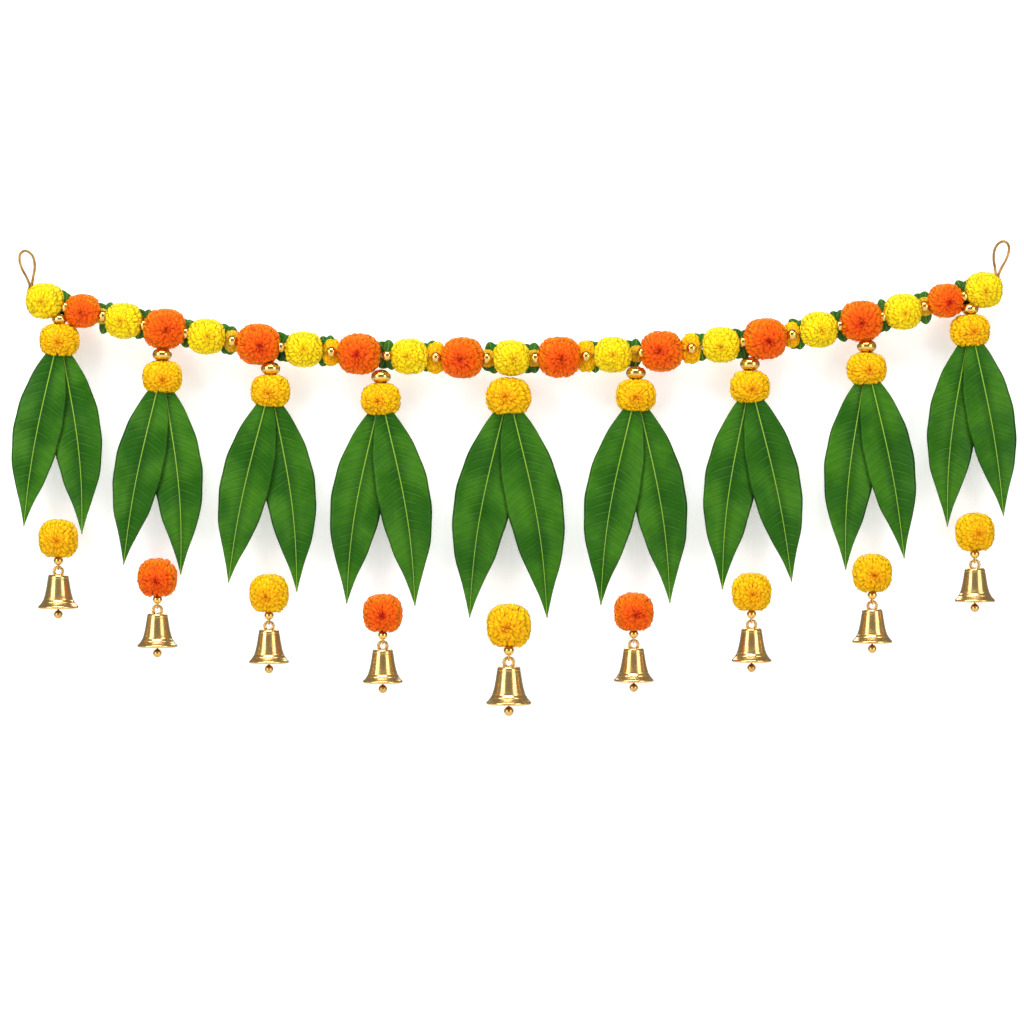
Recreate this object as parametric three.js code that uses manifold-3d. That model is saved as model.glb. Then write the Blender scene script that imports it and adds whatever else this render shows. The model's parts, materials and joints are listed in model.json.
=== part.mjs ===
// Mango leaf door hanging: a toran for a doorway about one metre wide.
// A sagging garland of marigold blooms on a string hangs from a cord loop at each end.
// From it hang nine drops: a pair of mango leaves under a bloom, then a bloom and a brass bell.
//
// Units are millimetres. +Z is up, +X runs along the doorway and -Y faces the viewer.
// The origin is the inside top of the left hanging loop, where it sits on its nail.

import * as THREE from 'three';
import { mergeVertices } from 'three/addons/utils/BufferGeometryUtils.js';
import Module from 'manifold-3d';

const wasm = await Module();
wasm.setup();

// ---- driving dimensions -------------------------------------------------------------------

const GAP = 0.35; // air kept between pieces that touch

// The garland's string and the sag it hangs in.
const STRING_RADIUS = 1.2;
const FIRST_BLOOM_X = 19.6; // centre of the first bloom, from the left nail
const LOWEST_X = 475; // where the garland hangs lowest
const LOWEST_Z = -105.7;
const SAG = {
  left: { span: 455, rise: 57, power: 2.25 },
  right: { span: 473, rise: 65, power: 2.1 },
};
const STRING_STEPS = 30;
const STRING_SIDES = 8;
const BORE_SIDES = 5;

// Distances from each bloom's centre to the next, along X.
const BLOOM_SPACING = [
  37.5, 41.5, 41, 41.5, 52.5, 45, 55.5, 50, 53.5, 48.5,
  47.5, 54, 48.5, 60, 43.5, 54, 42.5, 41.5, 43, 38,
];
const LEMON_BLOOM = { width: 36, height: 34 };
const ORANGE_BLOOM = { width: 44, height: 41 };
const END_ORANGE_BLOOM = { width: 36, height: 34 }; // the second bloom from each end
const BLOOM_DEPTH = 0.9; // depth of a bloom as a share of its height
const BEAD_RADIUS = 5.4; // gold beads on the string, one between each two blooms

// Hanging loops of gold cord.
const CORD_RADIUS = 1.65;
const LOOP_HEIGHT = 33; // nail to knot
const LOOP_HALF_WIDTH = 7.3; // to the cord's centreline
const KNOT_RADIUS = 2.9;
const LEFT_KNOT_X = 5.8;
const RIGHT_LOOP = { x: 978.3, z: 9.4, knotX: -6.5 };

// One row for each drop, from left to right. x is where it hangs on the string, below is how far
// its head bloom's centre hangs under the string, and leaves are [length, lean in degrees] of the
// left and the right leaf. lean is how far the bell bloom hangs to the side of the head bloom,
// fall how far under it, and front says which leaf lies in front.
const DROPS = [
  { x: 34.5, below: 35.5, bead: 7.6, leaves: [[189, 10.7], [195, 6.7]], lean: -1.4, fall: 198.5, front: 0 },
  { x: 137, below: 48.5, bead: 9.7, leaves: [[191, 11.4], [198, 5.4]], lean: -4.8, fall: 200.5, front: 0 },
  { x: 245.4, below: 45.5, bead: 9.7, leaves: [[196, 12.3], [202, 7.5]], lean: -1.6, fall: 202.5, front: 0 },
  { x: 355.8, below: 44.3, bead: 9.9, leaves: [[207, 9.5], [209, 9.4]], lean: 1.8, fall: 214, front: 1 },
  { x: 483.3, below: 39, bead: 0, leaves: [[224, 10], [224, 9.9]], lean: 0.3, fall: 229, front: 1 },
  { x: 610.7, below: 42.5, bead: 9.9, leaves: [[212, 9.6], [210, 9.3]], lean: -2.2, fall: 216.5, front: 0 },
  { x: 724.7, below: 46, bead: 9.9, leaves: [[204, 7.8], [199, 12]], lean: 1.6, fall: 205.5, front: 1 },
  { x: 841.4, below: 49, bead: 9.7, leaves: [[202, 6], [193, 11]], lean: 5.6, fall: 204.5, front: 1 },
  { x: 944.7, below: 37, bead: 8.6, leaves: [[197, 6.7], [188, 10]], lean: 4.9, fall: 201.5, front: 1 },
];
const MIDDLE_DROP = 4; // its blooms, beads and bell are larger
const MIDDLE_SCALE = 1.13;

// The drop's pieces at their usual size.
const HEAD_BLOOM = { width: 40, height: 34.5 };
const BELL_BLOOM_RADIUS = 19.8;
const THREAD_RADIUS = 0.5;
const KNOT_LOOP_RADIUS = 0.6; // thickness of the thread's loop round the string
const HANG_BEAD_FLATTEN = 0.72; // height of the bead over its width
const LOWER_BEAD_RADIUS = 4.6;
const LOWER_BEAD_FALL = 21.6; // bell bloom's centre to the bead's centre
const EYE_WIRE_RADIUS = 0.75;
const EYE_HALF_WIDTH = 2.7; // to the wire's centreline
const EYE_FALL = 8.9; // bead's centre to the eye's bottom wire
const RING_WIRE_RADIUS = 1.45;
const RING_RADIUS = 4.3; // to the wire's centreline
const RING_ABOVE_CROWN = 3.3; // ring's centre to the top of the bell

// Mango leaves.
const LEAF_HALF_WIDTH = 0.128; // share of the leaf's length
const LEAF_THICKNESS = 0.8;
const LEAF_BOW = 0.03; // how far the midrib bows outwards, as a share of the length
const OUTER_LEAF_BOW = 0.02; // the same for the outward leaf of a drop far from the middle
const FAR_FROM_MIDDLE = 200;
const LEAF_BACK_BEND = 1.2; // how far the edges bend back
const LEAF_ROOT = 0.035; // share of the length between the head bloom's centre and the stalk
const LEAF_LAYERS = [-5.6, -2.6]; // y of the front leaf and of the back leaf
const LEAF_STEPS = 9;
const SLOT = { top: 5, topHalf: 5, bottom: 24, bottomHalf: 24 }; // in the head bloom

// Bells, as shares of the rim's radius and of the height.
const BELL_RIM_RADIUS = 20;
const BELL_HEIGHT = 34;
const BELL_WALL = 1.5;
const BELL_OUTLINE = [
  [0.45, 0], [0.51, 0.09], [0.67, 0.6], [0.82, 0.83], [1, 0.95], [0.95, 1],
];
const BELL_SIDES = 10;
const CLAPPER_ROD_RADIUS = 0.9;
const CLAPPER_BALL_RADIUS = 4.3;
const CLAPPER_FALL = 5.8; // rim to the ball's centre

// ---- colours ------------------------------------------------------------------------------

const LOOKS = {
  lemon: { color: 0xf7d515, roughness: 0.8, metalness: 0 },
  orange: { color: 0xf65c04, roughness: 0.8, metalness: 0 },
  leaf: { color: 0x2f7d1f, roughness: 0.4, metalness: 0 },
  brass: { color: 0xc9a35a, roughness: 0.3, metalness: 1 },
  gold: { color: 0xc8962d, roughness: 0.2, metalness: 1 },
  cord: { color: 0xc98a2a, roughness: 0.6, metalness: 0.2 },
};

// ---- joining and cutting ------------------------------------------------------------------

/** A manifold solid from a closed three.js geometry. */
function solid(geometry) {
  const bare = geometry.index ? geometry.toNonIndexed() : geometry.clone();
  for (const name of Object.keys(bare.attributes)) {
    if (name !== 'position') bare.deleteAttribute(name);
  }
  const merged = mergeVertices(bare, 1e-4);
  const vertProperties = new Float32Array(merged.attributes.position.array);
  const triVerts = new Uint32Array(merged.index.array);
  return new wasm.Manifold(new wasm.Mesh({ numProp: 3, vertProperties, triVerts }));
}

/** A three.js geometry from a manifold solid. */
function geometryOf(body) {
  const mesh = body.getMesh();
  const geometry = new THREE.BufferGeometry();
  geometry.setAttribute('position', new THREE.BufferAttribute(mesh.vertProperties, 3));
  geometry.setIndex(new THREE.BufferAttribute(mesh.triVerts, 1));
  geometry.computeVertexNormals();
  return geometry;
}

/** All solids joined in one. */
function joined(bodies) {
  return bodies.reduce((whole, body) => whole.add(body));
}

// ---- basic shapes -------------------------------------------------------------------------

/** An ellipsoid with its poles along Z, at a point. */
function ellipsoid(centre, rx, ry, rz, around = 8, down = 6) {
  const geometry = new THREE.SphereGeometry(1, around, down);
  geometry.rotateX(Math.PI / 2);
  geometry.scale(rx, ry, rz);
  geometry.translate(centre.x, centre.y, centre.z);
  return solid(geometry);
}

/** A straight round rod from one point to another. */
function rod(from, to, radius, sides = 6) {
  const along = new THREE.Vector3().subVectors(to, from);
  const geometry = new THREE.CylinderGeometry(radius, radius, along.length(), sides);
  const up = new THREE.Vector3(0, 1, 0);
  const turn = new THREE.Quaternion().setFromUnitVectors(up, along.clone().normalize());
  geometry.applyQuaternion(turn);
  const middle = new THREE.Vector3().addVectors(from, to).multiplyScalar(0.5);
  geometry.translate(middle.x, middle.y, middle.z);
  return solid(geometry);
}

/** A round tube along a curve. */
function tube(curve, radius, steps, sides) {
  const section = new THREE.Shape();
  for (let i = 0; i < sides; i += 1) {
    const angle = (2 * Math.PI * i) / sides;
    const x = radius * Math.cos(angle);
    const y = radius * Math.sin(angle);
    if (i === 0) section.moveTo(x, y);
    else section.lineTo(x, y);
  }
  section.closePath();
  const settings = { steps, extrudePath: curve, bevelEnabled: false };
  return solid(new THREE.ExtrudeGeometry(section, settings));
}

/** A torus whose ring faces along X, Y or Z. */
function ringSolid(centre, radius, wire, faces, around = 12, sides = 6) {
  const geometry = new THREE.TorusGeometry(radius, wire, sides, around);
  if (faces === 'x') geometry.rotateY(Math.PI / 2);
  if (faces === 'y') geometry.rotateX(Math.PI / 2);
  geometry.translate(centre.x, centre.y, centre.z);
  return solid(geometry);
}

// ---- the garland --------------------------------------------------------------------------

/** Height of the string at a place along the doorway. */
function stringZ(x) {
  const side = x < LOWEST_X ? SAG.left : SAG.right;
  const reach = Math.abs(x - LOWEST_X) / side.span;
  return LOWEST_Z + side.rise * reach ** side.power;
}

function onString(x) {
  return new THREE.Vector3(x, 0, stringZ(x));
}

/** Centres of the garland's blooms along X. */
function bloomPlaces() {
  const places = [FIRST_BLOOM_X];
  for (const spacing of BLOOM_SPACING) places.push(places[places.length - 1] + spacing);
  return places;
}

const BLOOM_X = bloomPlaces();
const LEFT_KNOT = new THREE.Vector3(LEFT_KNOT_X, 0, -LOOP_HEIGHT);
const RIGHT_KNOT = new THREE.Vector3(RIGHT_LOOP.x + RIGHT_LOOP.knotX, 0, RIGHT_LOOP.z - LOOP_HEIGHT);

/** The string's route from just inside the left knot to just inside the right one. */
function stringRoute() {
  const points = [];
  const last = BLOOM_X[BLOOM_X.length - 1];
  const leftEnd = BLOOM_X[0] - LEMON_BLOOM.width / 4;
  const rightEnd = last + LEMON_BLOOM.width / 4;
  const clear = KNOT_RADIUS + GAP;
  points.push(LEFT_KNOT.clone().lerp(onString(leftEnd), clear / LEFT_KNOT.distanceTo(onString(leftEnd))));
  for (let i = 0; i <= 40; i += 1) points.push(onString(leftEnd + ((rightEnd - leftEnd) * i) / 40));
  points.push(
    RIGHT_KNOT.clone().lerp(onString(rightEnd), clear / RIGHT_KNOT.distanceTo(onString(rightEnd))),
  );
  return new THREE.CatmullRomCurve3(points, false, 'centripetal');
}

const STRING_ROUTE = stringRoute();

/** Gold beads sit half way between blooms, and a little to the side where a drop hangs there. */
function beadPlaces() {
  const places = [];
  for (let i = 0; i + 1 < BLOOM_X.length; i += 1) {
    let x = (BLOOM_X[i] + BLOOM_X[i + 1]) / 2;
    const room = BEAD_RADIUS + KNOT_LOOP_RADIUS + GAP;
    for (const drop of DROPS) {
      const off = x - drop.x;
      if (Math.abs(off) < room) x = drop.x + (off < 0 ? -room : room);
    }
    places.push(x);
  }
  return places;
}

/** The string with its beads, made thicker by grow: the section's flats lie at the radius. */
function stringWithBeads(grow, sides) {
  const corner = (STRING_RADIUS + grow) / Math.cos(Math.PI / sides);
  const pieces = [tube(STRING_ROUTE, corner, STRING_STEPS, sides)];
  for (const x of beadPlaces()) {
    const radius = BEAD_RADIUS + grow;
    pieces.push(ellipsoid(onString(x), radius, radius, radius, 7, 4));
  }
  return joined(pieces);
}

/** A garland bloom's size by its place: lemon and orange alternate. */
function bloomSize(index) {
  if (index % 2 === 0) return LEMON_BLOOM;
  return index === 1 || index === BLOOM_X.length - 2 ? END_ORANGE_BLOOM : ORANGE_BLOOM;
}

/** A garland bloom, cleared of the string, the beads and the drops' threads and beads. */
function garlandBloom(index, clearances) {
  const size = bloomSize(index);
  const centre = onString(BLOOM_X[index]);
  const half = size.height / 2;
  let bloom = ellipsoid(centre, size.width / 2, half * BLOOM_DEPTH, half);
  for (const room of clearances) bloom = bloom.subtract(room);
  return bloom;
}

// ---- leaves -------------------------------------------------------------------------------

/** Half-width of a mango leaf along its length, from the stalk at 0 to the drip tip at 1. */
function leafOutline(t) {
  const body = Math.sin(Math.PI * t ** 0.88) ** 0.89;
  const tip = THREE.MathUtils.smoothstep(t, 0.7, 1);
  return body * (1 - 0.38 * tip);
}

/** How far a leaf's midrib bows outwards, as a share of its length. */
function leafBow(head, side) {
  return side * (head.x - LOWEST_X) > FAR_FROM_MIDDLE ? OUTER_LEAF_BOW : LEAF_BOW;
}

/** One leaf below its head bloom. side is -1 on the left and 1 on the right. */
function leafSolid(head, length, lean, side, layerY, grow) {
  const geometry = new THREE.BoxGeometry(2, 1, 1, 2, 1, LEAF_STEPS);
  const position = geometry.attributes.position;
  const angle = THREE.MathUtils.degToRad(lean);
  const start = LEAF_ROOT * length - grow;
  for (let i = 0; i < position.count; i += 1) {
    const across = position.getX(i);
    const through = position.getY(i) * 2;
    const t = 0.5 - position.getZ(i);
    const outline = leafOutline(Math.min(Math.max(t, 0), 1));
    const half = Math.max(length * LEAF_HALF_WIDTH * outline, 0.8) + grow;
    const down = start + (length + grow - start) * t;
    const bow = leafBow(head, side) * length * Math.sin(Math.PI * t ** 1.2);
    const sideways = across * half + side * bow;
    const x = sideways * Math.cos(angle) + side * down * Math.sin(angle);
    const z = -down * Math.cos(angle) + side * sideways * Math.sin(angle);
    const bend = LEAF_BACK_BEND * outline * across ** 2;
    const y = layerY + bend + through * (LEAF_THICKNESS / 2 + grow);
    position.setXYZ(i, head.x + x, y, head.z + z);
  }
  return solid(geometry);
}

/** Both leaves of a drop, [left, right]. */
function leafPair(drop, grow) {
  const head = headCentre(drop);
  return [-1, 1].map((side, i) => {
    const [length, lean] = drop.leaves[i];
    const layer = LEAF_LAYERS[drop.front === i ? 0 : 1];
    return leafSolid(head, length, lean, side, layer, grow);
  });
}

// ---- drops --------------------------------------------------------------------------------

function dropScale(drop) {
  return drop === DROPS[MIDDLE_DROP] ? MIDDLE_SCALE : 1;
}

function headCentre(drop) {
  return new THREE.Vector3(drop.x, 0, stringZ(drop.x) - drop.below);
}

function bellBloomCentre(drop) {
  const head = headCentre(drop);
  return new THREE.Vector3(head.x + drop.lean, 0, head.z - drop.fall);
}

/** The eye's bottom wire, where the bell's ring hangs and turns. */
function bellPivot(drop) {
  const fall = (LOWER_BEAD_FALL + EYE_FALL) * dropScale(drop);
  return bellBloomCentre(drop).sub(new THREE.Vector3(0, 0, fall));
}

/** Thread loop, thread and hang bead: all of the drop that lies among the garland's blooms. */
function dropTop(drop, grow) {
  const hook = onString(drop.x);
  const head = headCentre(drop);
  const loopRadius = STRING_RADIUS + GAP + KNOT_LOOP_RADIUS;
  const slope = Math.atan2(stringZ(drop.x + 1) - stringZ(drop.x - 1), 2);
  const loop = new THREE.TorusGeometry(loopRadius, KNOT_LOOP_RADIUS + grow, 4, 7);
  loop.rotateY(Math.PI / 2);
  loop.rotateY(-slope);
  loop.translate(hook.x, hook.y, hook.z);
  const threadTop = new THREE.Vector3(hook.x, 0, hook.z - loopRadius);
  const pieces = [solid(loop), rod(threadTop, head, THREAD_RADIUS + grow)];
  if (drop.bead > 0) {
    const halfHeight = drop.bead * HANG_BEAD_FLATTEN;
    const z = head.z + HEAD_BLOOM.height / 2 + halfHeight - 1.5;
    const centre = new THREE.Vector3(head.x, 0, z);
    const wide = drop.bead + grow;
    pieces.push(ellipsoid(centre, wide, wide, halfHeight + grow, 8, 5));
  }
  return joined(pieces);
}

/** The room that a head bloom leaves for its two leaf stalks, widening downwards. */
function leafSlot(head) {
  const [front, back] = LEAF_LAYERS;
  const outline = new THREE.Shape();
  outline.moveTo(-SLOT.topHalf, -SLOT.top);
  outline.lineTo(-SLOT.bottomHalf, -SLOT.bottom);
  outline.lineTo(SLOT.bottomHalf, -SLOT.bottom);
  outline.lineTo(SLOT.topHalf, -SLOT.top);
  outline.closePath();
  const clear = LEAF_THICKNESS / 2 + GAP;
  const depth = back - front + LEAF_BACK_BEND * 0.4 + 2 * clear;
  const slot = new THREE.ExtrudeGeometry(outline, { depth, bevelEnabled: false });
  slot.rotateX(Math.PI / 2);
  slot.translate(head.x, front - clear + depth, head.z);
  return solid(slot);
}

/** The whole strand of a drop: thread, beads, head bloom, bell bloom and eye, in one solid. */
function strandSolid(drop) {
  const scale = dropScale(drop);
  const head = headCentre(drop);
  const bellBloom = bellBloomCentre(drop);
  const pivot = bellPivot(drop);
  const halfHeight = (HEAD_BLOOM.height / 2) * scale;
  const halfWidth = (HEAD_BLOOM.width / 2) * scale;
  const whole = ellipsoid(head, halfWidth, halfHeight * BLOOM_DEPTH, halfHeight);
  const headBloom = whole.subtract(leafSlot(head));

  const bloomRadius = BELL_BLOOM_RADIUS * scale;
  const bloom = ellipsoid(bellBloom, bloomRadius, bloomRadius * BLOOM_DEPTH, bloomRadius);
  const beadZ = bellBloom.z - LOWER_BEAD_FALL * scale;
  const beadCentre = new THREE.Vector3(bellBloom.x, 0, beadZ);
  const beadRadius = LOWER_BEAD_RADIUS * scale;
  const bead = ellipsoid(beadCentre, beadRadius, beadRadius, beadRadius, 7, 4);
  const eye = eyeSolid(beadCentre, pivot, scale);
  const thread = rod(head, bellBloom, THREAD_RADIUS);
  const wire = rod(bellBloom, beadCentre, EYE_WIRE_RADIUS * scale);
  return joined([dropTop(drop, 0), headBloom, thread, bloom, wire, bead, eye]);
}

/** A U of wire out of the bead, across the doorway, whose bottom carries the bell's ring. */
function eyeSolid(beadCentre, pivot, scale) {
  const half = EYE_HALF_WIDTH * scale;
  const points = [];
  points.push(new THREE.Vector3(pivot.x, -half, beadCentre.z));
  for (let i = 0; i <= 4; i += 1) {
    const angle = Math.PI * (i / 4);
    const y = -half * Math.cos(angle);
    const z = pivot.z + half - half * Math.sin(angle);
    points.push(new THREE.Vector3(pivot.x, y, z));
  }
  points.push(new THREE.Vector3(pivot.x, half, beadCentre.z));
  const curve = new THREE.CatmullRomCurve3(points, false, 'centripetal');
  return tube(curve, EYE_WIRE_RADIUS * scale, 8, 5);
}

/** A bell with its crown ring and clapper. */
function bellSolid(drop) {
  const scale = dropScale(drop);
  const pivot = bellPivot(drop);
  const wire = RING_WIRE_RADIUS * scale;
  const ringRadius = RING_RADIUS * scale;
  const reach = EYE_WIRE_RADIUS * scale + GAP + wire;
  const ringCentre = new THREE.Vector3(pivot.x, 0, pivot.z + reach - ringRadius);
  const top = ringCentre.z - RING_ABOVE_CROWN * scale;
  const rim = top - BELL_HEIGHT * scale;

  const outside = BELL_OUTLINE.map(([r, t]) => [r * BELL_RIM_RADIUS, t * BELL_HEIGHT]);
  const inside = outside
    .slice(1, -2)
    .map(([r, down]) => [r - BELL_WALL, Math.max(down, outside[1][1])])
    .reverse();
  const lip = [outside[outside.length - 2][0] - 2 * BELL_WALL, BELL_HEIGHT];
  const profile = [[0, 0], ...outside, lip, ...inside, [0, outside[1][1]]];
  const shell = new THREE.LatheGeometry(
    profile.map(([r, down]) => new THREE.Vector2(r * scale, -down * scale)).reverse(),
    BELL_SIDES,
  );
  shell.rotateX(Math.PI / 2);
  shell.translate(pivot.x, 0, top);

  const ceiling = top - outside[1][1] * scale + 0.5;
  const ballCentre = new THREE.Vector3(pivot.x, 0, rim - CLAPPER_FALL * scale);
  const ballRadius = CLAPPER_BALL_RADIUS * scale;
  const rodTop = new THREE.Vector3(pivot.x, 0, ceiling);
  const clapperRod = rod(rodTop, ballCentre, CLAPPER_ROD_RADIUS * scale);
  const ball = ellipsoid(ballCentre, ballRadius, ballRadius, ballRadius, 8, 5);
  const ring = ringSolid(ringCentre, ringRadius, wire, 'y', 9, 5);
  return joined([solid(shell), ring, clapperRod, ball]);
}

// ---- hanging loops ------------------------------------------------------------------------

/** A loop of cord over a nail, with both ends in a knot above the end bloom. */
function loopSolid(nail, knot) {
  const drop = nail.z - knot.z;
  const apexZ = nail.z + CORD_RADIUS;
  const right = [];
  const left = [];
  for (const [share, wide] of [[0.1, 0.74], [0.3, 1], [0.55, 0.86], [0.8, 0.45]]) {
    const x = nail.x + (knot.x - nail.x) * share;
    const z = apexZ - drop * share;
    left.unshift(new THREE.Vector3(x - LOOP_HALF_WIDTH * wide, 0, z));
    right.push(new THREE.Vector3(x + LOOP_HALF_WIDTH * wide, 0, z));
  }
  const apex = new THREE.Vector3(nail.x, 0, apexZ);
  const foot = CORD_RADIUS * 0.55;
  const leftFoot = new THREE.Vector3(knot.x - foot, 0, knot.z);
  const rightFoot = new THREE.Vector3(knot.x + foot, 0, knot.z);
  const route = new THREE.CatmullRomCurve3([leftFoot, ...left, apex, ...right, rightFoot]);
  const knotBody = ellipsoid(knot, KNOT_RADIUS, KNOT_RADIUS, KNOT_RADIUS, 8, 5);
  return joined([tube(route, CORD_RADIUS, 20, 8), knotBody]);
}

// ---- assembly -----------------------------------------------------------------------------

const hanging = new THREE.Group();

function add(name, body, look) {
  const mesh = new THREE.Mesh(geometryOf(body), new THREE.MeshStandardMaterial(LOOKS[look]));
  mesh.name = name;
  hanging.add(mesh);
}

const numbered = (name, index) => `${name}_${String(index + 1).padStart(2, '0')}`;

const leftLoop = loopSolid(new THREE.Vector3(0, 0, 0), LEFT_KNOT);
const rightLoop = loopSolid(new THREE.Vector3(RIGHT_LOOP.x, 0, RIGHT_LOOP.z), RIGHT_KNOT);
add('left_hanging_loop', leftLoop, 'cord');
add('right_hanging_loop', rightLoop, 'cord');
add('garland_string', stringWithBeads(0, STRING_SIDES), 'gold');

const roomForString = stringWithBeads(GAP, BORE_SIDES);
const roomForKnots = [LEFT_KNOT, RIGHT_KNOT].map((knot) => {
  const radius = KNOT_RADIUS + GAP;
  return ellipsoid(knot, radius, radius, radius, 8, 5);
});
const roomForDrops = DROPS.map((drop) => dropTop(drop, GAP));
const clearances = [roomForString, ...roomForKnots, ...roomForDrops];

BLOOM_X.forEach((x, i) => {
  const colour = i % 2 === 0 ? 'lemon' : 'orange';
  add(numbered(`${colour}_bloom`, i), garlandBloom(i, clearances), colour);
});

DROPS.forEach((drop, i) => {
  add(numbered('strand', i), strandSolid(drop), 'lemon');
  const [left, right] = leafPair(drop, 0);
  add(numbered('left_leaf', i), left, 'leaf');
  add(numbered('right_leaf', i), right, 'leaf');
  add(numbered('bell', i), bellSolid(drop), 'brass');
});

export default hanging;
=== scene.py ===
"""A mango leaf door hanging: marigold garland, leaf pairs and brass bells, against a pale wall.

Lengths are metres and angles radians. +X runs along the doorway, +Z is up and -Y faces the viewer.
"""

import json
import math
import random

import bpy
import numpy as np
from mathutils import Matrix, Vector


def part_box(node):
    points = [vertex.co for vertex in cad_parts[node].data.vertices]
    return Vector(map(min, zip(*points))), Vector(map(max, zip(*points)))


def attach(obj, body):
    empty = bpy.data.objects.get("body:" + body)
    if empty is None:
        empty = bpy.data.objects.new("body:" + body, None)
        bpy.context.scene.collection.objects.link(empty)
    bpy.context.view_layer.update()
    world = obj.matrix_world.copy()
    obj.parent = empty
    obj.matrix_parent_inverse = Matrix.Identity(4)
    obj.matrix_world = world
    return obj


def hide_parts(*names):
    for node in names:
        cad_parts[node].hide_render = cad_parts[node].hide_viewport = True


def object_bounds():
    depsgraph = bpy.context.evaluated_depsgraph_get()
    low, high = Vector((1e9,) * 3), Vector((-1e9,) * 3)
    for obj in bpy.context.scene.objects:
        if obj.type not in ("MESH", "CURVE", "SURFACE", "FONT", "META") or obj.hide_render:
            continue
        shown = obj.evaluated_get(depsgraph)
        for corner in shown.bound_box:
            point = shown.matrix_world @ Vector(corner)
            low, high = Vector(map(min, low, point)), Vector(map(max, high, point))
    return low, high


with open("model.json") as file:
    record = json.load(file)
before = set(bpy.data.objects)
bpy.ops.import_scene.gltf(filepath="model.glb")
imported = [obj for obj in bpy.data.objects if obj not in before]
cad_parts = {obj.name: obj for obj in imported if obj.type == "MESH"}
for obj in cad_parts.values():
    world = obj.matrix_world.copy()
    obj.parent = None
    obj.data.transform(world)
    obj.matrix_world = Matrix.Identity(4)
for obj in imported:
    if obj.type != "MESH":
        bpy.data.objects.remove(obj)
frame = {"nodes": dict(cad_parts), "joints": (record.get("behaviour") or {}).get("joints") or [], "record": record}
cad_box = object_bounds()
scene = bpy.context.scene
MM = 0.001

# ---- sizes shared with the construction -----------------------------------------------------

CORD_RADIUS = 1.65 * MM
LOOP_HEIGHT = 33 * MM
LOOP_HALF_WIDTH = 7.3 * MM
LOOP_SHAPE = ((0.1, 0.74), (0.3, 1), (0.55, 0.86), (0.8, 0.45))  # share of the drop, of the width
LOOP_FOOT = 0.55  # of the cord's radius, between each end and the knot's middle
KNOT_RADIUS = 2.9 * MM
LEFT_KNOT_X = 5.8 * MM
RIGHT_KNOT_INSET = 6.5 * MM  # from the right nail back to its knot
STRING_RADIUS = 1.2 * MM
BEAD_RADIUS = 5.4 * MM
BEAD_ROOM = 6.35 * MM  # from a drop's thread to the middle of the bead beside it
LEAF_ROOT = 0.035  # share of the leaf's length between the head bloom's middle and the stalk
LEAF_HALF_WIDTH = 0.128
LEAF_BOW = 0.03
OUTER_LEAF_BOW = 0.02  # of the outward leaf of a drop far from the middle
FAR_FROM_MIDDLE = 0.2
LOWEST_X = 0.475
LEAF_BACK_BEND = 1.2 * MM
HEAD_BLOOM = Vector((20, 15.5, 17.25)) * MM
BELL_BLOOM = Vector((19.8, 17.8, 19.8)) * MM
THREAD_RADIUS = 0.28 * MM
HANG_BEAD_FLATTEN = 0.72
LOWER_BEAD_RADIUS = 4.6 * MM
LOWER_BEAD_FALL = 21.6 * MM
EYE_FALL = 8.9 * MM
EYE_WIRE_RADIUS = 0.75 * MM
EYE_HALF_WIDTH = 2.7 * MM
RING_RADIUS = 4.3 * MM
RING_ABOVE_CROWN = 3.3 * MM
RING_WIRE_RADIUS = 1.45 * MM
GAP = 0.35 * MM
BELL_RIM_RADIUS = 20 * MM
BELL_HEIGHT = 34 * MM
CLAPPER_BALL_RADIUS = 4.3 * MM
CLAPPER_FALL = 5.8 * MM


def middle_of(node):
    low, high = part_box(node)
    return (Vector(low) + Vector(high)) / 2


def size_of(node):
    low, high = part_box(node)
    return Vector(high) - Vector(low)


def mount_at(name):
    mounts = {mount["name"]: mount for mount in frame["record"]["mounts"]}
    return Vector(mounts[name]["pos_m"])


LEFT_NAIL = mount_at("left_hanging_loop")
RIGHT_NAIL = mount_at("right_hanging_loop")
BLOOMS = sorted(name for name in frame["nodes"] if "_bloom_" in name)
BLOOMS.sort(key=lambda name: middle_of(name).x)
DROPS = [name[-2:] for name in sorted(frame["nodes"]) if name.startswith("strand_")]
PIVOTS = {joint["name"][5:7]: Vector(joint["pos_m"]) for joint in frame["joints"]}
GARLAND_BODY = "garland"


# ---- camera ---------------------------------------------------------------------------------

VIEW_WIDTH = 1.024
LENS = 100
SENSOR = 36
VIEW_MIDDLE = Vector((0.4868, 0, -0.2597))

camera_data = bpy.data.cameras.new("camera")
camera_data.lens = LENS
camera_data.sensor_width = SENSOR
camera = bpy.data.objects.new("camera", camera_data)
camera.location = VIEW_MIDDLE + Vector((0, -VIEW_WIDTH * LENS / SENSOR, 0))
camera.rotation_euler = (math.pi / 2, 0, 0)
scene.collection.objects.link(camera)
scene.camera = camera


# ---- making meshes --------------------------------------------------------------------------


def make_piece(name, verts, faces, material, replaced, body=GARLAND_BODY, tones=None):
    """A smooth mesh piece that rides on a body and stands for the CAD nodes it replaces."""
    mesh = bpy.data.meshes.new(name)
    mesh.from_pydata([tuple(v) for v in verts], [], [tuple(int(i) for i in f) for f in faces])
    mesh.update()
    for attribute, values in (tones or {}).items():
        layer = mesh.attributes.new(attribute, "FLOAT", "POINT")
        layer.data.foreach_set("value", np.asarray(values, dtype=np.float32))
    mesh.shade_smooth()
    mesh.materials.append(material)
    piece = bpy.data.objects.new(name, mesh)
    scene.collection.objects.link(piece)
    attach(piece, body)
    if replaced:
        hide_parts(*replaced)
    return piece


def smoothstep(t, low, high):
    x = min(max((t - low) / (high - low), 0.0), 1.0)
    return x * x * (3 - 2 * x)


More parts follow.
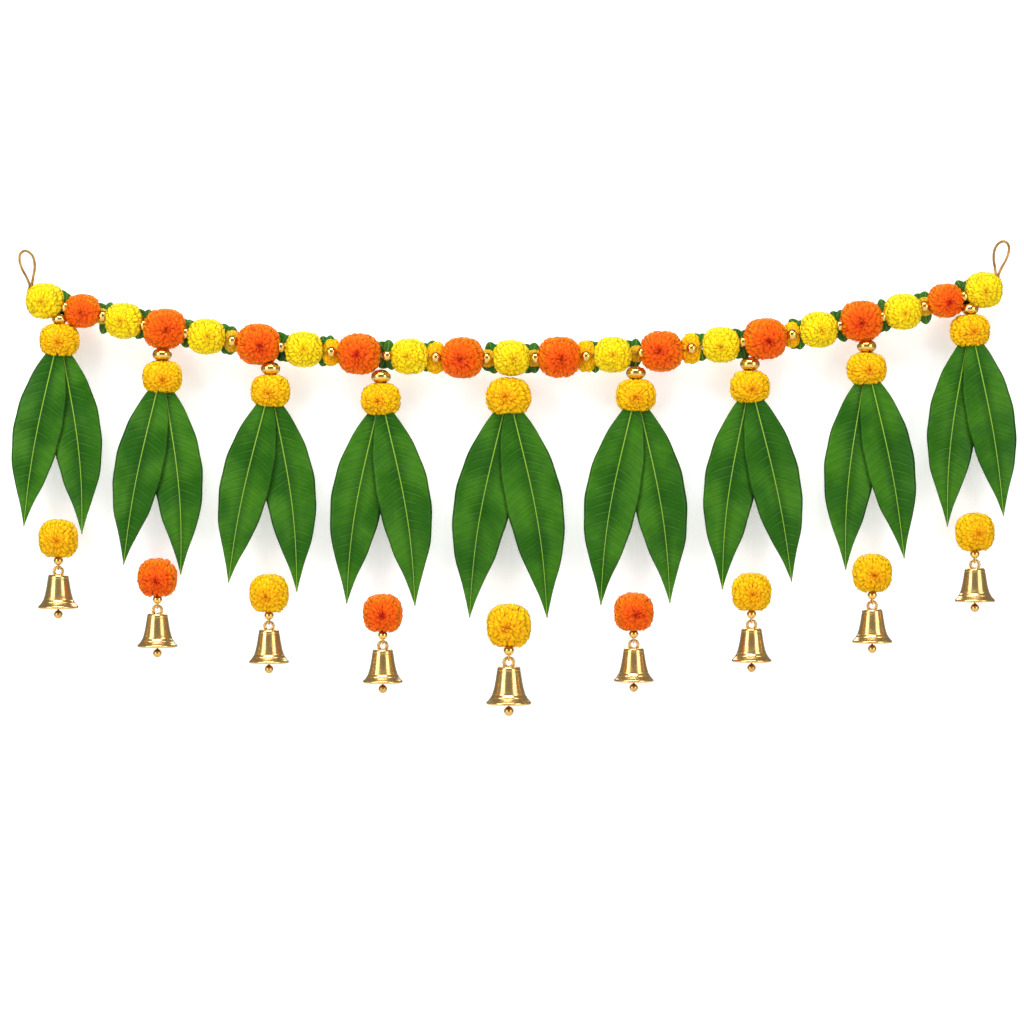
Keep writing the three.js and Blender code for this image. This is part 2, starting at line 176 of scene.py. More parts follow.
def joined(parts):
    """One list of points and faces from several."""
    verts = []
    faces = []
    for part_verts, part_faces in parts:
        start = len(verts)
        verts.extend(part_verts)
        faces.extend([tuple(i + start for i in face) for face in part_faces])
    return verts, faces


def turned(profile, sides, middle):
    """A closed solid turned about a vertical axis. The profile runs from the axis to the axis."""
    verts = []
    faces = []
    rows = []
    for radius, z in profile:
        start = len(verts)
        if radius < 1e-7:
            verts.append(middle + Vector((0, 0, z)))
            rows.append([start] * sides)
            continue
        for i in range(sides):
            angle = 2 * math.pi * i / sides
            verts.append(middle + Vector((radius * math.cos(angle), radius * math.sin(angle), z)))
        rows.append(list(range(start, start + sides)))
    for upper, lower in zip(rows, rows[1:]):
        for i in range(sides):
            k = (i + 1) % sides
            corners = [upper[i], lower[i], lower[k], upper[k]]
            kept = [c for n, c in enumerate(corners) if c not in corners[:n]]
            if len(kept) > 2:
                faces.append(tuple(kept))
    return verts, faces


def swept(points, radius, sides, closed=False):
    """A round tube along points, with flat ends unless it closes on itself."""
    points = [Vector(p) for p in points]
    count = len(points)
    verts = []
    faces = []
    normal = None
    for i, point in enumerate(points):
        before = points[i - 1] if i or closed else point
        after = points[(i + 1) % count] if i + 1 < count or closed else point
        along = (after - before).normalized()
        if normal is None:
            normal = along.orthogonal().normalized()
        normal = (normal - along * normal.dot(along)).normalized()
        side = along.cross(normal)
        for k in range(sides):
            angle = 2 * math.pi * k / sides
            verts.append(point + radius * (math.cos(angle) * normal + math.sin(angle) * side))
    for i in range(count if closed else count - 1):
        row = i * sides
        following = ((i + 1) % count) * sides
        for k in range(sides):
            m = (k + 1) % sides
            faces.append((row + k, row + m, following + m, following + k))
    if not closed:
        faces.append(tuple(reversed(range(sides))))
        faces.append(tuple(range((count - 1) * sides, count * sides)))
    return verts, faces


def smooth_route(points, per_span=8):
    """Catmull-Rom points through the given ones."""
    points = [Vector(p) for p in points]
    padded = [2 * points[0] - points[1], *points, 2 * points[-1] - points[-2]]
    route = []
    for i in range(1, len(padded) - 2):
        a, b, c, d = padded[i - 1 : i + 3]
        for k in range(per_span):
            t = k / per_span
            bend = (2 * a - 5 * b + 4 * c - d) * t * t
            route.append(0.5 * (2 * b + (c - a) * t + bend + (3 * b - a - 3 * c + d) * t**3))
    route.append(points[-1])
    return route


def evenly(route, step):
    """Points a step apart along a route."""
    lengths = [0.0]
    for a, b in zip(route, route[1:]):
        lengths.append(lengths[-1] + (b - a).length)
    count = max(2, round(lengths[-1] / step))
    spaced = []
    at = 0
    for i in range(count + 1):
        want = lengths[-1] * i / count
        while at < len(route) - 2 and lengths[at + 1] < want:
            at += 1
        span = lengths[at + 1] - lengths[at]
        spaced.append(route[at].lerp(route[at + 1], (want - lengths[at]) / span if span else 0))
    return spaced


# ---- node helpers ---------------------------------------------------------------------------


class Nodes:
    """Short ways to add and wire nodes in one tree."""

    def __init__(self, tree):
        self.tree = tree

    def add(self, kind, **settings):
        node = self.tree.nodes.new(kind)
        for key, value in settings.items():
            setattr(node, key, value)
        return node

    def wire(self, source, target):
        self.tree.links.new(source, target)

    def feed(self, socket, value):
        if isinstance(value, bpy.types.NodeSocket):
            self.wire(value, socket)
        else:
            socket.default_value = value

    def maths(self, operation, a, b=None, c=None):
        node = self.add("ShaderNodeMath", operation=operation)
        for socket, value in zip(node.inputs, (a, b, c)):
            if value is not None:
                self.feed(socket, value)
        return node.outputs[0]

    def mix(self, share, a, b, blend="MIX"):
        node = self.add("ShaderNodeMix", data_type="RGBA", blend_type=blend)
        self.feed(node.inputs["Factor"], share)
        self.feed(node.inputs[6], a)
        self.feed(node.inputs[7], b)
        return node.outputs[2]

    def ranged(self, value, low, high, to_low=0.0, to_high=1.0, smooth=True):
        node = self.add("ShaderNodeMapRange")
        node.interpolation_type = "SMOOTHSTEP" if smooth else "LINEAR"
        for name, number in (
            ("Value", value),
            ("From Min", low),
            ("From Max", high),
            ("To Min", to_low),
            ("To Max", to_high),
        ):
            self.feed(node.inputs[name], number)
        return node.outputs[0]

    def noise(self, scale, detail=3.0, rough=0.5, vector=None):
        node = self.add("ShaderNodeTexNoise")
        node.inputs["Scale"].default_value = scale
        node.inputs["Detail"].default_value = detail
        node.inputs["Roughness"].default_value = rough
        self.feed(node.inputs["Vector"], vector or self.places())
        return node.outputs["Fac"]

    def places(self):
        return self.add("ShaderNodeTexCoord").outputs["Object"]

    def tone(self, name):
        return self.add("ShaderNodeAttribute", attribute_name=name).outputs["Fac"]

    def bump(self, height, strength, distance):
        node = self.add("ShaderNodeBump")
        node.inputs["Strength"].default_value = strength
        node.inputs["Distance"].default_value = distance
        self.wire(height, node.inputs["Height"])
        return node.outputs["Normal"]


def new_group(name, inputs, outputs):
    """A shader node group with its sockets made; returns the tree, helper, input and output."""
    tree = bpy.data.node_groups.new(name, "ShaderNodeTree")
    for socket, kind, value in inputs:
        made = tree.interface.new_socket(socket, in_out="INPUT", socket_type=kind)
        made.default_value = value
    for socket, kind in outputs:
        tree.interface.new_socket(socket, in_out="OUTPUT", socket_type=kind)
    helper = Nodes(tree)
    start = helper.add("NodeGroupInput")
    end = helper.add("NodeGroupOutput")
    return tree, helper, start, end


def new_material(name, base, roughness, metallic=0.0, **sockets):
    """A material with its Principled shader; sockets are the shader's own plain values."""
    material = bpy.data.materials.new(name)
    material.use_nodes = True
    shader = material.node_tree.nodes["Principled BSDF"]
    shader.inputs["Base Color"].default_value = (*base, 1)
    shader.inputs["Roughness"].default_value = roughness
    shader.inputs["Metallic"].default_value = metallic
    for socket, value in sockets.items():
        shader.inputs[socket.replace("_", " ")].default_value = value
    return material, Nodes(material.node_tree), shader


def place_group(nodes, tree, **values):
    node = nodes.add("ShaderNodeGroup")
    node.node_tree = tree
    for socket, value in values.items():
        node.inputs[socket.replace("_", " ")].default_value = value
    return node


COLOUR = "NodeSocketColor"
FLOAT = "NodeSocketFloat"


# ---- shared effects -------------------------------------------------------------------------


def petal_tint_group():
    """Petal colour from painted shade at its deep foot and in the eye to its pale rim, with fine lengthwise
    streaks and painted shade along its folded sides.
    """
    tree, n, start, end = new_group(
        "petal tint",
        [
            ("Deep", COLOUR, (0.8, 0.2, 0, 1)),
            ("Body", COLOUR, (1, 0.5, 0, 1)),
            ("Rim", COLOUR, (1, 0.7, 0, 1)),
        ],
        [("Colour", COLOUR), ("Height", FLOAT), ("Roughness", FLOAT)],
    )
    along = n.tone("petal_tone_and_shade")
    shade = n.tone("petal_shade")
    across = n.tone("petal_across")
    # The Deep colour is painted shade: it fills the petals' feet and the eye, where the tone is low.
    body = n.mix(n.ranged(along, 0.12, 0.62), start.outputs["Deep"], start.outputs["Body"])
    body = n.mix(n.ranged(along, 0.6, 1.0), body, start.outputs["Rim"])
    streak = n.maths("SINE", n.maths("MULTIPLY", across, 13.0))
    fibre = n.maths("MULTIPLY_ADD", streak, 0.5, 0.5)
    # Painted shade: each petal darkens towards the Deep colour along its sides, where it folds under its
    # neighbours.
    fold_shade = n.maths("POWER", n.maths("ABSOLUTE", across), 3.0)
    fibre_share = n.maths("MULTIPLY", fibre, 0.14)
    lines = n.maths("MAXIMUM", fibre_share, n.maths("MULTIPLY", fold_shade, 0.3))
    body = n.mix(lines, body, start.outputs["Deep"])
    patch = n.ranged(n.noise(160, 2), 0.35, 0.7)
    body = n.mix(n.maths("MULTIPLY", patch, 0.2), body, start.outputs["Rim"])
    darker = n.ranged(shade, 0.0, 1.0, 0.86, 1.08, smooth=False)
    grey = n.add("ShaderNodeCombineColor")
    for channel in grey.inputs:
        n.wire(darker, channel)
    n.wire(n.mix(1.0, body, grey.outputs[0], "MULTIPLY"), end.inputs["Colour"])
    n.wire(n.maths("MULTIPLY_ADD", n.noise(900, 2), 0.4, fibre), end.inputs["Height"])
    n.wire(n.ranged(patch, 0, 1, 0.62, 0.78), end.inputs["Roughness"])
    return tree


def leaf_vein_group():
    """Leaf blade colour, with pale curved side veins, painted shade darkening the middle towards the midrib, and
    soft waxy patches.
    """
    tree, n, start, end = new_group(
        "leaf veins",
        [
            ("Blade", COLOUR, (0.03, 0.2, 0.012, 1)),
            ("Light", COLOUR, (0.1, 0.35, 0.05, 1)),
            ("Dark", COLOUR, (0.01, 0.09, 0.005, 1)),
            ("Vein", COLOUR, (0.3, 0.55, 0.06, 1)),
            ("Vein Spacing", FLOAT, 9.5),
        ],
        [("Colour", COLOUR), ("Height", FLOAT), ("Roughness", FLOAT)],
    )
    along = n.tone("leaf_along")  # millimetres from the stalk
    across = n.tone("leaf_across")  # millimetres from the midrib, signed
    edge = n.tone("leaf_edge")  # 0 at the midrib and 1 at the edge
    distance = n.maths("ABSOLUTE", across)
    side = n.maths("MULTIPLY", n.maths("SIGN", across), 0.27)
    straight = n.maths("MULTIPLY", distance, -0.3)
    slope = n.maths("MULTIPLY_ADD", n.maths("POWER", distance, 1.75), -0.022, straight)
    wobble = n.maths("MULTIPLY", n.noise(26, 2), 2.6)
    route = n.maths("ADD", n.maths("ADD", along, slope), wobble)
    phase = n.maths("ADD", n.maths("DIVIDE", route, start.outputs["Vein Spacing"]), side)
    saw = n.maths("FRACT", phase)
    near = n.maths("ABSOLUTE", n.maths("SUBTRACT", saw, 0.5))
    vein = n.ranged(near, 0.435, 0.5)
    thin = n.ranged(edge, 0.55, 1.0, 1.0, 0.12)
    vein = n.maths("MULTIPLY", vein, thin)
    rib_width = n.ranged(along, 0, 200, 0.7, 0.32, smooth=False)
    midrib = n.ranged(n.maths("DIVIDE", distance, rib_width), 0.7, 1.0, 1.0, 0.0)
    band = n.maths("MULTIPLY_ADD", n.maths("COSINE", n.maths("MULTIPLY", phase, 2 * math.pi)), 0.5, 0.5)
    patches = n.ranged(n.noise(22, 3), 0.36, 0.66)
    # Painted shade: the blade darkens towards the midrib, where its halves fold.
    inner = n.ranged(edge, 0.0, 0.42, 1.0, 0.0)
    colour = n.mix(n.maths("MULTIPLY", patches, 0.8), start.outputs["Blade"], start.outputs["Light"])
    colour = n.mix(n.maths("MULTIPLY", band, 0.22), colour, start.outputs["Dark"])
    colour = n.mix(n.maths("MULTIPLY", inner, 0.55), colour, start.outputs["Dark"])
    faint = n.maths("MULTIPLY", vein, n.ranged(n.noise(40, 2), 0.35, 0.65, 0.05, 0.22))
    colour = n.mix(faint, colour, start.outputs["Vein"])
    colour = n.mix(n.ranged(edge, 0.965, 1.0, 0.0, 0.5), colour, start.outputs["Dark"])
    colour = n.mix(midrib, colour, start.outputs["Vein"])
    n.wire(colour, end.inputs["Colour"])
    relief = n.maths("MULTIPLY_ADD", vein, -0.55, n.maths("MULTIPLY", band, -0.5))
    relief = n.maths("MULTIPLY_ADD", n.noise(420, 3, 0.6), 0.12, relief)
    n.wire(n.maths("MULTIPLY_ADD", midrib, 0.5, relief), end.inputs["Height"])
    n.wire(n.ranged(n.noise(45, 2), 0.3, 0.7, 0.3, 0.44), end.inputs["Roughness"])
    return tree


def metal_wear_group():
    """Worn and tarnished metal: a mask of dull spots and fine scratches."""
    tree, n, start, end = new_group(
        "metal wear",
        [
            ("Bright", COLOUR, (0.8, 0.6, 0.3, 1)),
            ("Tarnish", COLOUR, (0.4, 0.22, 0.07, 1)),
            ("Amount", FLOAT, 0.35),
        ],
        [("Colour", COLOUR), ("Wear", FLOAT), ("Height", FLOAT)],
    )
    cloud = n.ranged(n.noise(95, 4, 0.6), 0.42, 0.74)
    spots = n.ranged(n.noise(700, 2), 0.62, 0.78)
    stretched = n.add("ShaderNodeMapping")
    stretched.inputs["Scale"].default_value = (1, 1, 26)
    n.wire(n.places(), stretched.inputs["Vector"])
    lines = n.noise(180, 3, 0.6, stretched.outputs["Vector"])
    wear = n.maths("MAXIMUM", cloud, n.maths("MULTIPLY", spots, 0.5))
    share = n.maths("MULTIPLY", wear, start.outputs["Amount"])
    n.wire(n.mix(share, start.outputs["Bright"], start.outputs["Tarnish"]), end.inputs["Colour"])
    n.wire(wear, end.inputs["Wear"])
    n.wire(lines, end.inputs["Height"])
    return tree


PETAL_TINT = petal_tint_group()
LEAF_VEINS = leaf_vein_group()
METAL_WEAR = metal_wear_group()


# ---- materials ------------------------------------------------------------------------------


def petal_material(name, deep, body, rim):
    material, n, shader = new_material(
        name, body, 0.75, Specular_IOR_Level=0.12, Subsurface_Weight=0.1, Subsurface_Scale=0.003
    )
    tint = place_group(n, PETAL_TINT, Deep=(*deep, 1), Body=(*body, 1), Rim=(*rim, 1))
    n.wire(tint.outputs["Colour"], shader.inputs["Base Color"])
    n.wire(tint.outputs["Roughness"], shader.inputs["Roughness"])
    n.wire(n.bump(tint.outputs["Height"], 0.35, 0.0004), shader.inputs["Normal"])
    return material


def leaf_material(name, blade, light, dark, vein, spacing=9.5):
    material, n, shader = new_material(
        name, blade, 0.4, Specular_IOR_Level=0.17, Coat_Weight=0.08, Coat_Roughness=0.26
    )
    tint = place_group(
        n,
        LEAF_VEINS,
        Blade=(*blade, 1),
        Light=(*light, 1),
        Dark=(*dark, 1),
        Vein=(*vein, 1),
        Vein_Spacing=spacing,
    )
    n.wire(tint.outputs["Colour"], shader.inputs["Base Color"])
    n.wire(tint.outputs["Roughness"], shader.inputs["Roughness"])
    n.wire(n.bump(tint.outputs["Height"], 0.5, 0.0006), shader.inputs["Normal"])
    return material


def metal_material(name, bright, tarnish, smooth, dull, amount, lines):
    material, n, shader = new_material(name, bright, smooth, 1.0)
    wear = place_group(n, METAL_WEAR, Bright=(*bright, 1), Tarnish=(*tarnish, 1), Amount=amount)
    n.wire(wear.outputs["Colour"], shader.inputs["Base Color"])
    roughness = n.ranged(wear.outputs["Wear"], 0, 1, smooth, dull, smooth=False)
    n.wire(roughness, shader.inputs["Roughness"])
    n.wire(n.bump(wear.outputs["Height"], lines, 0.0002), shader.inputs["Normal"])
    return material


def cord_material():
    """Metallic gold thread: each strand catches light along its fibres."""
    material, n, shader = new_material(
        "twisted gold cord", (0.62, 0.36, 0.09), 0.45, 0.55, Sheen_Weight=0.2
    )
    fibre = n.noise(1500, 3, 0.6)
    soft = n.noise(120, 2)
    share = n.ranged(n.maths("MULTIPLY_ADD", fibre, 0.6, n.maths("MULTIPLY", soft, 0.4)), 0.35, 0.65)
    n.wire(n.mix(share, (0.12, 0.05, 0.008, 1), (0.6, 0.33, 0.07, 1)), shader.inputs["Base Color"])
    n.wire(n.ranged(fibre, 0.3, 0.7, 0.55, 0.32), shader.inputs["Roughness"])
    n.wire(n.bump(fibre, 0.5, 0.0002), shader.inputs["Normal"])
    return material


def nylon_material():
    """Clear nylon thread that all but vanishes against a pale wall."""
    material, n, shader = new_material(
        "clear nylon thread", (0.93, 0.94, 0.92), 0.2, Specular_IOR_Level=0.4
    )
    speck = n.noise(800, 2)
    n.wire(n.ranged(speck, 0.3, 0.7, 0.04, 0.09), shader.inputs["Alpha"])
    n.wire(n.ranged(speck, 0.3, 0.7, 0.16, 0.3), shader.inputs["Roughness"])
    return material


# Each petal material's first colour, the Deep one, is mostly painted shade for the feet, the eye and the folded
# sides; it also tints the fine streaks.
LEMON = petal_material("lemon petals", (0.78, 0.4, 0.001), (1.0, 0.68, 0.003), (1.0, 0.8, 0.02))
ORANGE = petal_material("orange petals", (0.55, 0.014, 0.0005), (1.0, 0.1, 0.001), (1.0, 0.25, 0.004))
GOLDEN = petal_material("golden petals", (0.78, 0.24, 0.0005), (1.0, 0.47, 0.001), (1.0, 0.6, 0.002))
AMBER = petal_material("amber cup petals", (0.45, 0.14, 0.002), (0.78, 0.38, 0.006), (0.93, 0.62, 0.04))
MANGO_LEAF = leaf_material(
    "mango leaf", (0.013, 0.083, 0.001), (0.045, 0.165, 0.005), (0.003, 0.034, 0.001), (0.2, 0.36, 0.03)
)
SPACER_LEAF = leaf_material(
    "spacer leaf", (0.02, 0.11, 0.004), (0.05, 0.19, 0.012), (0.005, 0.04, 0.002), (0.1, 0.24, 0.03), 3.0
)
BELL_BRASS = metal_material(
    "satin bell brass", (0.8, 0.52, 0.19), (0.45, 0.23, 0.06), 0.2, 0.32, 0.4, 0.06
)
RING_BRASS = metal_material(
    "ring brass", (0.68, 0.43, 0.14), (0.36, 0.18, 0.05), 0.18, 0.34, 0.45, 0.06
)
BEAD_GOLD = metal_material(
    "bead gold", (0.78, 0.5, 0.13), (0.42, 0.22, 0.05), 0.1, 0.22, 0.3, 0.03
)
TWISTED_CORD = cord_material()
NYLON = nylon_material()


# ---- hanging loops --------------------------------------------------------------------------

STRANDS = 2
STRAND_RADIUS = 0.92 * MM
TWIST_PITCH = 4.6 * MM
CORD_STEP = 0.8 * MM  # between points along a cord
KNOT_TURNS = 2.6
KNOT_STEPS = 90
KNOT_HEIGHT = 1.5  # of the knot's radius, and the next too
KNOT_TURN_RADIUS = 0.72
KNOT_STRAND_RADIUS = 0.8 * MM
TAIL_FALL = ((0, 0), (2.2, 3), (3.4, 7), (3.8, 10))  # mm outwards and mm down
TAIL_STRAND_RADIUS = 0.6 * MM
TAIL_RADIUS = 1.1 * MM
TAIL_PITCH = 4 * MM


def loop_route(nail, knot):
    """The cord's line from the knot over the nail and back."""
    drop = nail.z - knot.z
    apex = nail + Vector((0, 0, CORD_RADIUS))
    left = []
    right = []
    for share, wide in LOOP_SHAPE:
        middle = Vector((nail.x + (knot.x - nail.x) * share, 0, apex.z - drop * share))
        out = Vector((LOOP_HALF_WIDTH * wide, 0, 0))
        left.insert(0, middle - out)
        right.append(middle + out)
    foot = Vector((CORD_RADIUS * LOOP_FOOT, 0, 0))
    points = [knot - foot, *left, apex, *right, knot + foot]
    return evenly(smooth_route(points, 12), CORD_STEP)


def twisted(route, radius=STRAND_RADIUS, cord_radius=CORD_RADIUS, pitch=TWIST_PITCH):
    """Strands of one radius laid round each other along a route."""
    parts = []
    offset = cord_radius - radius
    for strand in range(STRANDS):
        line = []
        normal = None
        travelled = 0.0
        for i, point in enumerate(route):
            along = (route[min(i + 1, len(route) - 1)] - route[max(i - 1, 0)]).normalized()
            if normal is None:
                normal = Vector((0, 1, 0))
            normal = (normal - along * normal.dot(along)).normalized()
            side = along.cross(normal)
            if i:
                travelled += (point - route[i - 1]).length
            angle = 2 * math.pi * (strand / STRANDS + travelled / pitch)
            line.append(point + offset * (math.cos(angle) * normal + math.sin(angle) * side))
        parts.append(swept(line, radius, 8))
    return joined(parts)


def hanging_loop(name, node, nail, knot, tail_lean):
    route = loop_route(nail, knot)
    verts, faces = twisted(route)
    piece = make_piece(f"{name}_cord", verts, faces, TWISTED_CORD, [node])
    knot_turns = []
    for i in range(KNOT_STEPS + 1):
        angle = 2 * math.pi * KNOT_TURNS * i / KNOT_STEPS
        z = (i / KNOT_STEPS - 0.5) * KNOT_HEIGHT * KNOT_RADIUS
        wide = KNOT_RADIUS * KNOT_TURN_RADIUS * math.sqrt(max(0.1, 1 - (z / KNOT_RADIUS) ** 2))
        knot_turns.append(knot + Vector((wide * math.cos(angle), wide * math.sin(angle), z)))
    verts, faces = swept(knot_turns, KNOT_STRAND_RADIUS, 8)
    make_piece(f"{name}_knot", verts, faces, TWISTED_CORD, [node])
    tail = [knot + Vector((tail_lean * out, -0.5, -down)) * MM for out, down in TAIL_FALL]
    tail = evenly(smooth_route(tail), CORD_STEP)
    verts, faces = twisted(tail, TAIL_STRAND_RADIUS, TAIL_RADIUS, TAIL_PITCH)
    make_piece(f"{name}_tail", verts, faces, TWISTED_CORD, [node])


LEFT_KNOT = Vector((LEFT_KNOT_X, 0, LEFT_NAIL.z - LOOP_HEIGHT))
RIGHT_KNOT = Vector((RIGHT_NAIL.x - RIGHT_KNOT_INSET, 0, RIGHT_NAIL.z - LOOP_HEIGHT))
hanging_loop("left_loop", "left_hanging_loop", LEFT_NAIL, LEFT_KNOT, -1)
hanging_loop("right_loop", "right_hanging_loop", RIGHT_NAIL, RIGHT_KNOT, 1)


# ---- the garland string and its beads -------------------------------------------------------

BLOOM_MIDDLES = [middle_of(name) for name in BLOOMS]
STRING_LINE = smooth_route([LEFT_KNOT, *BLOOM_MIDDLES, RIGHT_KNOT], 10)


def on_string(x):
    """The point of the garland string at a place along the doorway."""
    for a, b in zip(STRING_LINE, STRING_LINE[1:]):
        if a.x <= x <= b.x:
            return a.lerp(b, (x - a.x) / (b.x - a.x))
    return STRING_LINE[-1].copy()


def leaf_ends(node):
    """Stalk end and tip of a leaf, from its own mesh."""
    mesh = frame["nodes"][node].data
    points = sorted((v.co.copy() for v in mesh.vertices), key=lambda p: p.z)
    low = [p for p in points if p.z < points[0].z + 1.2 * MM]
    high = [p for p in points if p.z > points[-1].z - 1.6 * MM]
    return sum(high, Vector()) / len(high), sum(low, Vector()) / len(low)


def head_middle(number):
    """A head bloom's middle lies on the line of each leaf, just above its stalk."""
    guesses = []
    for side in ("left", "right"):
        root, tip = leaf_ends(f"{side}_leaf_{number}")
        guesses.append((root - LEAF_ROOT * tip) / (1 - LEAF_ROOT))
    middle = (guesses[0] + guesses[1]) / 2
    return Vector((middle.x, 0, middle.z))


HEADS = {number: head_middle(number) for number in DROPS}
SCALES = {number: size_of(f"bell_{number}").y / (2 * BELL_RIM_RADIUS) for number in DROPS}


BEAD_ROWS = 18
BEAD_HOLE_DEGREES = 12  # from the axis to the hole's rim
BEAD_DIMPLE = 0.144  # radius of the dimple's floor, as a share of the bead's
BEAD_DIMPLE_FLOOR = 0.86
STRING_BEAD_FORWARD = 1.2 * MM
GARLAND_STEP = 3 * MM
GARLAND_STRAND_RADIUS = 0.62 * MM
GARLAND_PITCH = 4.4 * MM


def bead_solid(middle, radius, flatten, axis, sides):
    """A turned bead with a small rimmed dimple at each end of its axis."""
    dimple = radius * BEAD_DIMPLE
    floor = radius * BEAD_DIMPLE_FLOOR
    profile = [(0.0, floor), (dimple, floor)]
    for i in range(BEAD_ROWS + 1):
        rim = math.radians(BEAD_HOLE_DEGREES)
        angle = rim + (math.pi - 2 * rim) * i / BEAD_ROWS
        profile.append((radius * math.sin(angle), radius * math.cos(angle)))
    profile += [(dimple, -floor), (0.0, -floor)]
    verts, faces = turned(profile, sides, Vector())
    spin = Vector((0, 0, 1)).rotation_difference(Vector(axis).normalized()).to_matrix()
    shaped = []
    for vert in verts:
        point = spin @ vert
        shaped.append(middle + Vector((point.x, point.y, point.z * flatten)))
    return shaped, faces


def bead_places():
    """A bead half way between blooms, or beside the thread of a drop that hangs there."""
    places = []
    for a, b in zip(BLOOM_MIDDLES, BLOOM_MIDDLES[1:]):
        x = (a.x + b.x) / 2
        for head in HEADS.values():
            off = x - head.x
            if abs(off) < BEAD_ROOM:
                x = head.x + math.copysign(BEAD_ROOM, off)
        places.append(x)
    return places


BEAD_PLACES = bead_places()
garland_line = evenly(STRING_LINE, GARLAND_STEP)
verts, faces = twisted(garland_line, GARLAND_STRAND_RADIUS, STRING_RADIUS, GARLAND_PITCH)
make_piece("garland_cord", verts, faces, TWISTED_CORD, ["garland_string"])
for i, x in enumerate(BEAD_PLACES):
    here = on_string(x) - Vector((0, STRING_BEAD_FORWARD, 0))
    ahead = on_string(x + 3 * MM) - on_string(x - 3 * MM)
    verts, faces = bead_solid(here, BEAD_RADIUS, 1, ahead, 24)
    make_piece(f"string_bead_{i + 1:02d}", verts, faces, BEAD_GOLD, ["garland_string"])


# ---- marigold blooms ------------------------------------------------------------------------

PETAL_COLUMNS = 4
PETAL_ROWS = 4
TIP_TEETH = (-0.17, -0.01, -0.06, -0.01, -0.17)  # rounding and notch of a petal's end
PLEATS = (-1.3, 0.5, -0.5, 0.5, -1.3)  # lengthwise folds across a petal
# Where each whorl's tips lie, as the angle from the eye, and how far its petals reach back.
WHORLS = ((8, 10), (16, 16), (26, 22), (43, 34), (64, 46), (88, 50), (112, 46), (136, 42), (158, 36))
CORE_RADIUS = 0.89
# The core's front shows through the eye in the Deep colour as painted shade; its back is lighter.
CORE_TONE = 0.12
BACK_CORE_TONE = 0.42
EYE_REACH = 0.5  # radians from the eye over which the petals are short and curled
EYE_SHADE_REACH = 1.15  # radians from the eye over which the painted shade of the hollow eye lightens
SQUARENESS = 2.5  # 2 is a round outline, and more is squarer
BACK_FROM = 1.7  # radians from the eye; the petals behind it are broader
BACK_BREADTH = 2.1


def unit(vectors):
    return vectors / np.linalg.norm(vectors, axis=-1, keepdims=True)


def bloom_core(eye, side, up, rows=10, sides=16):
    """The closed ball under the petals."""
    verts = [CORE_RADIUS * eye]
    faces = []
    for r in range(1, rows):
        angle = math.pi * r / rows
        for k in range(sides):
            direction = 2 * math.pi * k / sides
            ring = math.cos(direction) * side + math.sin(direction) * up
            verts.append(CORE_RADIUS * (math.cos(angle) * eye + math.sin(angle) * ring))
    verts.append(-CORE_RADIUS * eye)
    for k in range(sides):
        m = (k + 1) % sides
        faces.append((0, 1 + k, 1 + m))
        for r in range(rows - 2):
            a = 1 + r * sides
            b = a + sides
            faces.append((a + k, b + k, b + m, a + m))
        last = 1 + (rows - 2) * sides
        faces.append((len(verts) - 1, last + m, last + k))
    return verts, faces


